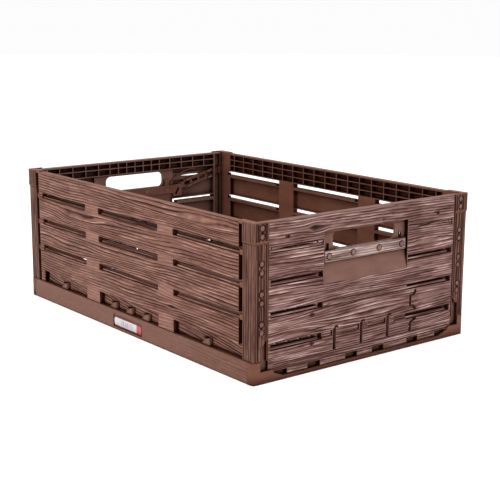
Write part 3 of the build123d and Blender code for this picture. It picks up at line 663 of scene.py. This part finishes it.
for side, turn in TURNS:
    common = {"material": LONG_WOOD, "body": "crate_frame", "turn": turn, **LONG_GRAIN}
    relief_skin(f"long_boards_{side}", on_long(), (-BOARD_END, BOARD_END), LONG_BOARDS_Z, 101,
                holes=long_holes, pitch=(2.3, 0.72), knots=long_knots, quiet=long_quiet,
                arches=long_arches, **common)
    for n, x in enumerate(LONG_OPENINGS):
        for m, (low, high) in enumerate(LONG_SLOTS):
            relief_skin(f"long_ledge_{n}_{m}_{side}", on_long(LONG_FACE - LONG_LEDGE_DEPTH),
                        (x[0] + LEDGE_START, x[1]), (low + LONG_LEDGE_Z[0], low + LONG_LEDGE_Z[1]),
                        111 + 3 * n + m, proud=0.6, relief=0.5, **common)
        gussets = [outside_box((at + GUSSET_GAP[0][0], at + GUSSET_GAP[0][1]), GUSSET_GAP[1])
                   for at in HINGE_X if x[0] < at < x[1]]
        relief_skin(f"window_{n}_{side}", on_long(WINDOW_FACE), x, WINDOW_SKIN_Z, 131 + n, holes=gussets,
                    proud=0.6, slant=0.11, **common)

# ---- sloping gussets over the long walls' hinges ----

GUSSET = ((-11.0, 30.5), (3.0, 39.9), (6.7, 39.9), (6.7, 30.5))
GUSSET_DEPTH = (190.2, 196.4)
GUSSET_BEVEL = 0.5
GUSSET_MIDDLE_Z = 35.0


def bevelled(x, z):
    """A corner of the wedge's face, drawn in by the bevel at the sides and the top."""
    return x + (GUSSET_BEVEL if x < 0 else -GUSSET_BEVEL), z - (GUSSET_BEVEL if z > GUSSET_MIDDLE_Z else 0.0)


def gusset_row(name, turn):
    """Wedges, low on the left and upright on the right, one in front of each hinge."""
    back, front = GUSSET_DEPTH
    inward = [bevelled(x, z) for x, z in GUSSET]
    count = len(GUSSET)
    points, faces = [], []
    for at in HINGE_X:
        first = len(points)
        for outline, depth in ((GUSSET, back), (GUSSET, front - GUSSET_BEVEL), (inward, front)):
            points += [(at + x, -depth, z) for x, z in outline]
        for ring in (0, count):
            for k in range(count):
                j = (k + 1) % count
                start = first + ring
                faces.append([start + j, start + k, start + count + k, start + count + j])
        faces.append([first + k for k in reversed(range(count))])
        faces.append([first + 2 * count + k for k in range(count)])
    new_piece(name, np.array(points), faces, GUSSET_PLASTIC, "crate_frame", turn, shade_smooth=False)


for side, turn in TURNS:
    gusset_row(f"hinge_gussets_{side}", turn)

# ---- the label's printed bars, which mean nothing ----

LABEL_BARS = ((-19.0, 1.4), (-16.6, 0.8), (-14.8, 2.2), (-11.0, 0.8), (-8.6, 1.6), (-4.6, 2.6), (-0.6, 0.8),
              (1.6, 1.4), (5.0, 0.8), (8.0, 1.6))
LABEL_BARS_Z = (9.0, 17.0)

for n, (start, width) in enumerate(LABEL_BARS):
    relief_skin(f"label_bar_{n}", on_long(LABEL_FACE), (start, start + width), LABEL_BARS_Z, 151 + n,
                LABEL_GREY, "crate_frame", pitch=(0.4, 0.8), proud=0.05, relief=0.02, edge_round=0.1)

# ---- corner posts, their collars and the base rim ----

RIVET_Y = 185.0
RIVET_Z = (69.0, 80.0, 108.0, 120.0, 148.0, 160.0, 195.0, 206.0)
COLLAR_Z = 187.2
POST_Y = (175.4, 198.4)
COLLAR_Y = (175.4, 199.2)
POST_X = (276.3, 298.2)
COLLAR_X = (276.3, 299.1)
POST_SPAN_Z = (30.4, 186.8)
COLLAR_SPAN_Z = (COLLAR_Z, 213.7)
POST_FOOT = ((170, 20), (175.6, 61.6), (182, 51.2), (187.8, 50.2), (187.8, 20))
LONG_LINES = ((177.6, 1.5), (191.4, 1.7))
SHORT_LINES = ((183.0, 61, 64), (181.6, 85, 103), (188.0, 85, 103), (185.0, 85, 103), (181.6, 125, 143),
               (188.0, 125, 143), (185.0, 165, 186), (188.4, 165, 186))
SHORT_LINE_WIDTH = 0.9
POST_LOOK = {"spacing": 5.2, "sway": 1.4, "groove": 0.5, "lip": 0.2, "streak": 0.22, "upright": True,
             "edge_round": 0.5, "pitch": (2.4, 0.35)}
RIM_X = (-288.2, 288.2)
RIM_Z = (0.4, 29.8)
LABEL_POCKET = outside_box((-40.0, 38.0), (4.0, 23.0))


def on_side(s, span):
    """A range on the right, or its mirror image on the left."""
    return span if s > 0 else (-span[1], -span[0])


for side, turn in TURNS:
    for s, corner in CORNERS:
        seed = 300 + 10 * s
        foot = outside_shape([(s * y, z) for y, z in POST_FOOT])
        rings = [ring_cut((s * RIVET_Y, z)) for z in RIVET_Z]
        long_lines = [line_down(s * y, width) for y, width in LONG_LINES]
        short_lines = [line_down(s * y, SHORT_LINE_WIDTH, low, high) for y, low, high in SHORT_LINES]
        common = {"material": POST_WOOD, "body": "crate_frame", "turn": turn, **POST_LOOK}
        relief_skin(f"post_end_{side}_{corner}", on_end(POST_FACE), on_side(s, POST_Y), POST_SPAN_Z, seed,
                    holes=[foot], dents=long_lines + short_lines + rings, proud=0.6, **common)
        relief_skin(f"collar_end_{side}_{corner}", on_end(COLLAR_FACE), on_side(s, COLLAR_Y), COLLAR_SPAN_Z,
                    seed + 1, dents=long_lines + rings, proud=0.5, relief=0.45, **common)
        relief_skin(f"post_side_{side}_{corner}", on_long(), on_side(s, POST_X), POST_SPAN_Z, seed + 2,
                    proud=0.6, **common)
        relief_skin(f"collar_side_{side}_{corner}", on_long(COLLAR_SIDE), on_side(s, COLLAR_X), COLLAR_SPAN_Z,
                    seed + 3, proud=0.45, relief=0.4, **common)
    relief_skin(f"rim_{side}", on_long(RIM_FACE), RIM_X, RIM_Z, 350, RIM_WOOD, "crate_frame", [LABEL_POCKET],
                turn=turn, proud=0.38, relief=0.34, groove=0.34, lip=0.12, calm=(60, 280), slant=0.03)

# ---- lift bar, painted shade on the recess's jambs beside it and the cracked strips ----

PIN_Y = (-68.2, -24.4, 24.4, 68.2)
PIN_Z = 154.0
BAR_Y = (-75.6, 75.6)
BAR_Z = (146.4, 161.1)
JAMB_X = (292.3, 297.6)
JAMB_Z = (120.0, 187.0)
STRIP_Z = (171.2, 179.8)

# each strip: side, its range, seed, the gap split out of it, and its marks
STRIPS = (
    ("left", (-170, -80), 411, ((-166, 175.4), (-120, 174.4), (-96, 176.0), (-118, 177.8), (-142, 177.2)),
     [crack((-140, 179), (-84, 178.2), 1.2), nail_hole((-168.5, 177.6), 1.4),
      nail_hole((-90.0, 177.0), 1.7)]),
    ("right", (80, 170), 421, ((84, 173.6), (112, 174.4), (150, 177.8), (110, 176.6)),
     [crack((81, 179.5), (112, 176.8), 1.4), crack((110, 177.8), (152, 179.2), 1.3),
      nail_hole((163.0, 176.5), 1.6), crack((148, 174.2), (161, 174.2), 1.2)]),
)

for end, turn in TURNS:
    relief_skin(f"bar_face_{end}", on_end(BAR_FACE), BAR_Y, BAR_Z, 401, BAR_WOOD, f"{end}_lift", turn=turn,
                pitch=(0.9, 0.4), proud=0.55, relief=0.5, spacing=2.9, sway=1.6, groove=0.5, lip=0.3,
                streak=0.3, dents=[ring_cut((y, PIN_Z), 4.1, 1.4) for y in PIN_Y])
    for s, corner in CORNERS:
        # painted shade: dark sheets over the recess's side walls
        relief_skin(f"recess_jamb_{end}_{corner}", on_jamb(s), JAMB_X, JAMB_Z, 440 + s, JAMB_PAINTED_SHADE,
                    f"{end}_end", upright=True, turn=turn, pitch=(2.0, 0.8), proud=0.4, relief=0.3,
                    edge_round=0.4)
    for name, span, seed, split, marks in STRIPS:
        relief_skin(f"strip_{name}_{end}", on_end(STRIP_FACE), span, STRIP_Z, seed, END_WOOD_PAINTED_SHEEN, f"{end}_end",
                    [outside_shape(split)], turn=turn, pitch=(0.93, 0.37), proud=0.5, dents=marks,
                    **END_GRAIN)

# ---- nail heads ----

HEAD_SUNK = 0.6         # how far a head's back lies inside the face
HEAD_RINGS = 10
HEAD_AROUND = 28
HEAD_SHOULDER = 0.35    # where the crown starts, as a share of the head's height


def turned_heads(name, places, radius, height, material, body, face, turn):
    """Round nail heads on an end face: crowned discs with a rolled edge."""
    points, faces = [], []
    profile = [(radius, -HEAD_SUNK), (radius, 0.25 * height)]
    for k in range(HEAD_RINGS):
        t = k / HEAD_RINGS
        rise = HEAD_SHOULDER + (1 - HEAD_SHOULDER) * math.sin(t * math.pi / 2)
        profile.append((radius * math.cos(t * math.pi / 2), height * rise))
    ring_count = len(profile)
    for y, z in places:
        start = len(points)
        for r, h in profile:
            for i in range(HEAD_AROUND):
                a = math.tau * i / HEAD_AROUND
                points.append((face + h, y + r * math.cos(a), z + r * math.sin(a)))
        points.append((face + height, y, z))
        points.append((face - HEAD_SUNK, y, z))
        for k in range(ring_count - 1):
            low, high = start + k * HEAD_AROUND, start + (k + 1) * HEAD_AROUND
            for i in range(HEAD_AROUND):
                j = (i + 1) % HEAD_AROUND
                faces.append([low + i, low + j, high + j, high + i])
        last = start + (ring_count - 1) * HEAD_AROUND
        tip, back = last + HEAD_AROUND, last + HEAD_AROUND + 1
        for i in range(HEAD_AROUND):
            j = (i + 1) % HEAD_AROUND
            faces.append([last + i, last + j, tip])
            faces.append([start + j, start + i, back])
    new_piece(name, np.array(points), faces, material, body, turn)


for side, turn in TURNS:
    low = [(s * RIVET_Y, z) for z in RIVET_Z if z < COLLAR_Z for s in SIDES]
    high = [(s * RIVET_Y, z) for z in RIVET_Z if z > COLLAR_Z for s in SIDES]
    pins = [(y, PIN_Z) for y in PIN_Y]
    turned_heads(f"post_nails_{side}", low, 3.15, 1.1, RIVET_PLASTIC, "crate_frame", POST_FACE, turn)
    turned_heads(f"collar_nails_{side}", high, 3.15, 0.6, RIVET_PLASTIC, "crate_frame", COLLAR_FACE, turn)
    turned_heads(f"bar_nails_{side}", pins, 3.3, 1.35, PIN_PLASTIC, f"{side}_lift", BAR_FACE, turn)

# ---- leaf springs, fixed bowed leaves on the end walls; the real ones shorten as the lift bar rises ----

LEAF_PATH = ((72.5, 163.4), (98.0, 182.0), (129.0, 188.2))
LEAF_X = 288.05
LEAF_HALF_WIDTH = 1.1
LEAF_HALF_THICKNESS = 0.75
LEAF_STEPS = 28
LEAF_AROUND = 12
LEAF_SQUARENESS = 0.35      # below 1 the section turns from an ellipse to a rounded box


def squared(value):
    """Pushes a sine or cosine towards 1 or -1, which squares a round section."""
    return abs(value) ** LEAF_SQUARENESS * np.sign(value)


def leaf_spring(name, side, turn, body, replaced):
    """A bowed leaf with rolled edges between the carrier's shoulder and the end wall's rib."""
    start, middle, end = [np.array(p) for p in LEAF_PATH]
    angles = [math.tau * k / LEAF_AROUND for k in range(LEAF_AROUND)]
    points, faces = [], []
    for i in range(LEAF_STEPS + 1):
        t = i / LEAF_STEPS
        spot = start * (1 - t) * (1 - 2 * t) + 4 * middle * t * (1 - t) + end * t * (2 * t - 1)
        slope = start * (4 * t - 3) + middle * (4 - 8 * t) + end * (4 * t - 1)
        normal = np.array([-slope[1], slope[0]]) / np.hypot(*slope)
        for angle in angles:
            y, z = spot + normal * LEAF_HALF_THICKNESS * squared(math.sin(angle))
            points.append((LEAF_X + LEAF_HALF_WIDTH * squared(math.cos(angle)), side * y, z))
    for i in range(LEAF_STEPS):
        low, high = i * LEAF_AROUND, (i + 1) * LEAF_AROUND
        for k in range(LEAF_AROUND):
            j = (k + 1) % LEAF_AROUND
            faces.append([low + k, high + k, high + j, low + j])
    faces.append(list(range(LEAF_AROUND)))
    faces.append([LEAF_STEPS * LEAF_AROUND + k for k in reversed(range(LEAF_AROUND))])
    piece = new_piece(name, np.array(points), faces, LATCH_PLASTIC, body, turn)
    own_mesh(piece)
    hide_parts(replaced)


for end, turn in TURNS:
    for s, corner in CORNERS:
        leaf_spring(f"spring_leaf_{end}_{corner}", s, turn, f"{end}_end",
                    f"leaf_spring_{end}_{corner}")

# ---- camera, light and floor ----

CAMERA_AT = (1.3943, -1.0674, 0.4850)
CAMERA_AZIMUTH = math.radians(51.77)
CAMERA_PITCH = math.radians(12.30)
CAMERA_ROLL = math.radians(0.24)
CAMERA_LENS = 82.07

camera_data = bpy.data.cameras.new("camera")
camera_data.lens = CAMERA_LENS
camera_data.sensor_width = 36.0
camera = bpy.data.objects.new("camera", camera_data)
bpy.context.scene.collection.objects.link(camera)
turned = (Matrix.Rotation(CAMERA_AZIMUTH, 4, "Z") @ Matrix.Rotation(math.pi / 2 - CAMERA_PITCH, 4, "X")
          @ Matrix.Rotation(CAMERA_ROLL, 4, "Z"))
camera.matrix_world = Matrix.Translation(CAMERA_AT) @ turned
bpy.context.scene.camera = camera


def softbox(name, at, target, size, power):
    """A soft rectangular lamp that faces a point."""
    light = bpy.data.lights.new(name, "AREA")
    light.shape = "RECTANGLE"
    light.size, light.size_y = size
    light.energy = power
    lamp = bpy.data.objects.new(name, light)
    lamp.location = at
    lamp.rotation_euler = (Vector(target) - Vector(at)).to_track_quat("-Z", "Y").to_euler()
    bpy.context.scene.collection.objects.link(lamp)


LIT_POINT = (0.0, 0.0, 0.1)
softbox("top_softbox", (0.2, -0.2, 2.2), LIT_POINT, (2.0, 1.6), 30.0)
softbox("front_softbox", (2.6, -0.6, 1.3), LIT_POINT, (1.4, 1.4), 16.0)
softbox("side_softbox", (-0.4, -2.6, 1.4), LIT_POINT, (1.6, 1.4), 14.0)

WORLD_STRENGTH = 0.8
world = bpy.data.worlds.new("studio")
world.use_nodes = True
world.node_tree.nodes["Background"].inputs["Color"].default_value = (1.0, 1.0, 1.0, 1.0)
world.node_tree.nodes["Background"].inputs["Strength"].default_value = WORLD_STRENGTH
bpy.context.scene.world = world
bpy.context.scene.view_settings.view_transform = "Standard"

FLOOR_RADIUS = 9.0
SWEEP_HEIGHT = 5.0
AROUND = 128


def studio_ring(name, rings, colour, emission):
    """A round part of the studio from (radius, height) rings."""
    points = []
    for radius, height in rings:
        for i in range(AROUND):
            turn = math.tau * i / AROUND
            points.append((radius * math.cos(turn), radius * math.sin(turn), height))
    faces = []
    for low in range(0, (len(rings) - 1) * AROUND, AROUND):
        high = low + AROUND
        for i in range(AROUND):
            j = (i + 1) % AROUND
            faces.append([low + i, low + j, high + j, high + i])
    mesh = bpy.data.meshes.new(name)
    mesh.from_pydata(points, [], faces)
    mesh.shade_smooth()
    item = bpy.data.objects.new(name, mesh)
    bpy.context.scene.collection.objects.link(item)
    material, tree, surface = shader(name, 0.8, 0.1)
    surface.inputs["Base Color"].default_value = (colour, colour, colour, 1.0)
    surface.inputs["Emission Color"].default_value = (1.0, 1.0, 1.0, 1.0)
    surface.inputs["Emission Strength"].default_value = emission
    mesh.materials.append(material)


floor_rings = [(0.0005, 0.0), (1.5, 0.0), (4.0, 0.0), (FLOOR_RADIUS, 0.0)]
sweep_rings = [(FLOOR_RADIUS, 0.0), (FLOOR_RADIUS + 0.4, 0.15), (FLOOR_RADIUS + 1.0, SWEEP_HEIGHT)]
studio_ring("pale_floor", floor_rings, 0.9, 0.24)
studio_ring("backdrop", sweep_rings, 0.0, 0.97)
